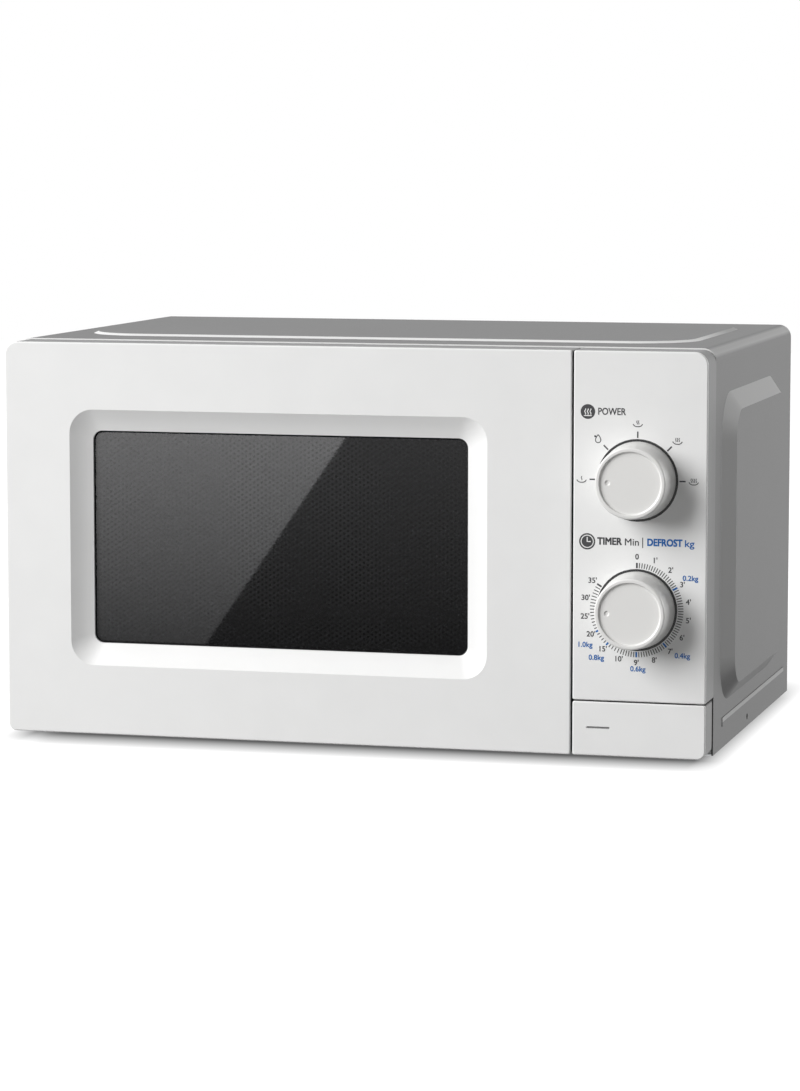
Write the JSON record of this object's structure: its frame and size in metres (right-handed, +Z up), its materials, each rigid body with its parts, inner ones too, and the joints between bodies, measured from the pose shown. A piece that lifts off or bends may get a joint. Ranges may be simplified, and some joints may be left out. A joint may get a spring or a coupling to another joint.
{
  "type": "microwave oven",
  "caption": "Countertop microwave oven with a side-hinged windowed door, rotary power and timer knobs, a push-button latch, a glass turntable on rollers and a pressed sheet cabinet.",
  "frame": {"origin": "on the floor plane under the middle of the oven's bounding box", "axes": "+Z up, the door faces -Y, +X to the right seen from the front"},
  "size_m": [0.4548, 0.337, 0.254],
  "materials": {
    "white_plastic": "satin moulded white",
    "grey_paint": "smooth satin grey paint",
    "cavity_paint": "speckled grey paint",
    "zinc_steel": "zinc-plated sheet",
    "bright_steel": "bright steel",
    "core_steel": "varnished laminations",
    "dark_steel": "black enamel",
    "aluminium": "plain",
    "winding": "enamelled copper",
    "tinted_glass": "dark tint",
    "clear_glass": "clear",
    "clear_film": "clear film",
    "black_plastic": "fine grain",
    "nylon": "natural nylon",
    "moulding": "plain moulding",
    "motor_can": "plated can",
    "ceramic": "pink alumina",
    "mica": "pressed mica",
    "circuit_board": "solder mask",
    "foot_rubber": "matt"
  },
  "bodies": {
    "oven": {"control_panel": "white_plastic", "cabinet": "grey_paint", "cavity_wrap": "cavity_paint", "cavity_floor": "cavity_paint", "front_plate": "cavity_paint", "base_plate": "zinc_steel", "back_plate": "zinc_steel", "waveguide": "zinc_steel", "magnetron_yoke": "zinc_steel", "magnetron_filter_box": "zinc_steel", "capacitor_clamp": "zinc_steel", "cabinet_screws": "bright_steel", "upper_hinge": "bright_steel", "lower_hinge": "bright_steel", "button_spring": "bright_steel", "transformer_core": "core_steel", "fan_motor": "core_steel", "magnetron_fins": "aluminium", "capacitor": "aluminium", "thermal_cutout": "aluminium", "transformer_windings": "winding", "lamp_bulb": "clear_glass", "cord_bushing": "black_plastic", "upper_switch": "black_plastic", "lower_switch": "black_plastic", "hv_diode": "black_plastic", "latch_board": "nylon", "fan_duct": "nylon", "timer_unit": "moulding", "power_selector": "moulding", "lamp_holder": "moulding", "turntable_motor": "motor_can", "magnetron_antenna": "ceramic", "waveguide_cover": "mica", "filter_board": "circuit_board", "feet": "foot_rubber"},
    "door": {"door_frame": "white_plastic", "door_glass": "tinted_glass", "door_choke": "dark_steel", "door_screen": "dark_steel", "door_film": "clear_film", "door_inner_cover": "black_plastic", "hinge_bushes": "nylon", "latch_spring": "bright_steel"},
    "latch": {"latch_hooks": "nylon"},
    "button": {"door_button": "white_plastic"},
    "lever": {"release_lever": "nylon"},
    "power_control": {"power_knob": "white_plastic", "power_shaft": "bright_steel"},
    "timer_control": {"timer_knob": "white_plastic", "timer_shaft": "bright_steel"},
    "turntable": {"glass_turntable": "clear_glass", "turntable_coupler": "nylon", "drive_shaft": "bright_steel"},
    "roller_carrier": {"roller_ring": "nylon"},
    "roller_1": {"roller_1": "nylon"},
    "roller_2": {"roller_2": "nylon"},
    "roller_3": {"roller_3": "nylon"},
    "fan": {"fan_blade": "nylon"}
  },
  "joints": [
    {"name": "door_hinge", "type": "hinge", "parent": "oven", "child": "door", "pos_m": [-0.211, -0.1325, 0.13], "axis": [0, 0, -1], "range_deg": [0, 100]},
    {"name": "latch_slide", "type": "slide", "parent": "door", "child": "latch", "axis": [0, 0, 1], "range_m": [0, 0.0025], "stiffness_N_per_m": 300, "springref_m": -0.002, "deforming": ["latch_spring"]},
    {"name": "button_slide", "type": "slide", "parent": "oven", "child": "button", "axis": [0, 1, 0], "range_m": [0, 0.004], "stiffness_N_per_m": 500, "springref_m": -0.002, "deforming": ["button_spring"]},
    {"name": "lever_pivot", "type": "hinge", "parent": "oven", "child": "lever", "pos_m": [0.1294, -0.1115, 0.0455], "axis": [1, 0, 0], "range_deg": [0, 14]},
    {"name": "power_turn", "type": "hinge", "parent": "oven", "child": "power_control", "pos_m": [0.178, -0.1575, 0.1755], "axis": [0, 1, 0], "range_deg": [0, 180]},
    {"name": "timer_turn", "type": "hinge", "parent": "oven", "child": "timer_control", "pos_m": [0.178, -0.1575, 0.0981], "axis": [0, 1, 0], "range_deg": [-270, 32]},
    {"name": "turntable_spin", "type": "hinge", "parent": "oven", "child": "turntable", "pos_m": [-0.0455, 0.0236, 0.0451], "axis": [0, 0, 1], "continuous": true},
    {"name": "roller_ring_spin", "type": "hinge", "parent": "oven", "child": "roller_carrier", "pos_m": [-0.0455, 0.0236, 0.0378], "axis": [0, 0, 1], "continuous": true},
    {"name": "roller_1_spin", "type": "hinge", "parent": "roller_carrier", "child": "roller_1", "pos_m": [-0.0455, 0.1186, 0.0378], "axis": [0, 1, 0], "continuous": true},
    {"name": "roller_2_spin", "type": "hinge", "parent": "roller_carrier", "child": "roller_2", "pos_m": [-0.12777, -0.0239, 0.0378], "axis": [-0.866, -0.5, 0], "continuous": true},
    {"name": "roller_3_spin", "type": "hinge", "parent": "roller_carrier", "child": "roller_3", "pos_m": [0.03677, -0.0239, 0.0378], "axis": [0.866, -0.5, 0], "continuous": true},
    {"name": "fan_spin", "type": "hinge", "parent": "oven", "child": "fan", "pos_m": [0.15965, 0.1069, 0.1815], "axis": [0, 1, 0], "continuous": true}
  ],
  "couplings": [
    {"joint": "latch_slide", "follows": "button_slide", "ratio": 0.625},
    {"joint": "lever_pivot", "follows": "button_slide", "rad_per_m": 60},
    {"joint": "roller_ring_spin", "follows": "turntable_spin", "ratio": 0.5},
    {"joint": "roller_1_spin", "follows": "turntable_spin", "ratio": -6.7857},
    {"joint": "roller_2_spin", "follows": "turntable_spin", "ratio": -6.7857},
    {"joint": "roller_3_spin", "follows": "turntable_spin", "ratio": -6.7857}
  ]
}
